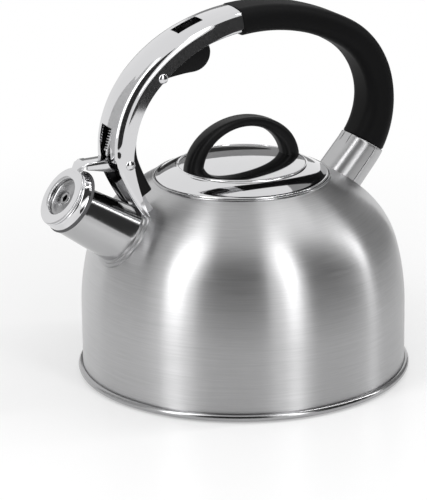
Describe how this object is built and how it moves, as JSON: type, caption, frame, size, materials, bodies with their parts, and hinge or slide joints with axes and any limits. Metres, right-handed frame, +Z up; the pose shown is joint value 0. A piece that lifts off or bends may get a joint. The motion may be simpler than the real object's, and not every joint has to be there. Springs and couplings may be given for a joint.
{
  "type": "stovetop whistling kettle",
  "caption": "Round domed stovetop kettle with a side spout, a whistle cap lifted by a trigger in the arched handle, and a lift-off lid with an arch knob.",
  "frame": {"origin": "centre of the flat base, on the surface that the kettle stands on", "axes": "+Z up along the pot's axis, spout towards -X, rear of the handle towards +X, handle in the plane y = 0"},
  "size_m": [0.2549, 0.22, 0.246],
  "materials": {
    "brushed_body": "circumferentially brushed stainless steel",
    "polished_steel": "mirror polished stainless steel",
    "satin_steel": "fine satin steel",
    "hidden_steel": "plain zinc-bright steel",
    "base_aluminium": "plain pressed aluminium",
    "base_steel": "turned magnetic stainless steel",
    "soft_black": "soft-touch black",
    "moulded_black": "satin moulded black",
    "knob_black": "satin moulded black",
    "gasket_rubber": "dark silicone"
  },
  "bodies": {
    "kettle": {"body_shell": "brushed_body", "base_pan": "polished_steel", "base_core_plate": "base_aluminium", "base_induction_disc": "base_steel", "neck_ring": "polished_steel", "spout_tube": "polished_steel", "spout_collar": "satin_steel", "rear_bracket": "hidden_steel", "rear_ferrule": "satin_steel", "handle_core": "hidden_steel", "core_screws": "hidden_steel", "handle_grip": "soft_black", "handle_front_shell": "polished_steel", "handle_inner_trim": "polished_steel", "handle_inner_cover": "moulded_black", "front_bracket": "hidden_steel", "trigger_pin": "polished_steel", "cap_arm_pin": "polished_steel", "spring_seat": "hidden_steel"},
    "trigger": {"trigger": "moulded_black"},
    "push_bar": {"push_bar": "hidden_steel"},
    "plunger": {"plunger": "hidden_steel", "plunger_spring": "hidden_steel"},
    "cap": {"cap_arm": "polished_steel", "cap_arm_bush": "hidden_steel", "cap_cup": "polished_steel", "cap_gasket": "gasket_rubber", "whistle_front_disc": "satin_steel", "whistle_rear_disc": "hidden_steel"},
    "lid": {"lid_cover": "polished_steel", "lid_skirt": "satin_steel", "lid_knob": "knob_black", "lid_screws": "hidden_steel", "lid_washers": "hidden_steel"}
  },
  "joints": [
    {"name": "cap_hinge", "type": "hinge", "parent": "kettle", "child": "cap", "pos_m": [-0.08922, 0, 0.15555], "axis": [0, 1, 0], "range_deg": [0, 24], "stiffness_Nm_per_rad": 0.4, "springref_deg": -8.59},
    {"name": "trigger_hinge", "type": "hinge", "parent": "kettle", "child": "trigger", "pos_m": [-0.06453, 0, 0.20878], "axis": [0, -1, 0], "range_deg": [0, 12]},
    {"name": "bar_slide", "type": "slide", "parent": "kettle", "child": "push_bar", "axis": [0, 0, -1], "range_m": [0, 0.00151]},
    {"name": "plunger_slide", "type": "slide", "parent": "kettle", "child": "plunger", "axis": [0.2759, 0, 0.9612], "range_m": [0, 0.00399], "deforming": ["plunger_spring"]},
    {"name": "lid_lift", "type": "slide", "parent": "kettle", "child": "lid", "axis": [0, 0, 1], "range_m": [0, 0.03]}
  ],
  "couplings": [
    {"joint": "trigger_hinge", "follows": "cap_hinge", "ratio": 0.5},
    {"joint": "bar_slide", "follows": "cap_hinge", "m_per_rad": 0.0036},
    {"joint": "plunger_slide", "follows": "cap_hinge", "m_per_rad": 0.0095}
  ]
}
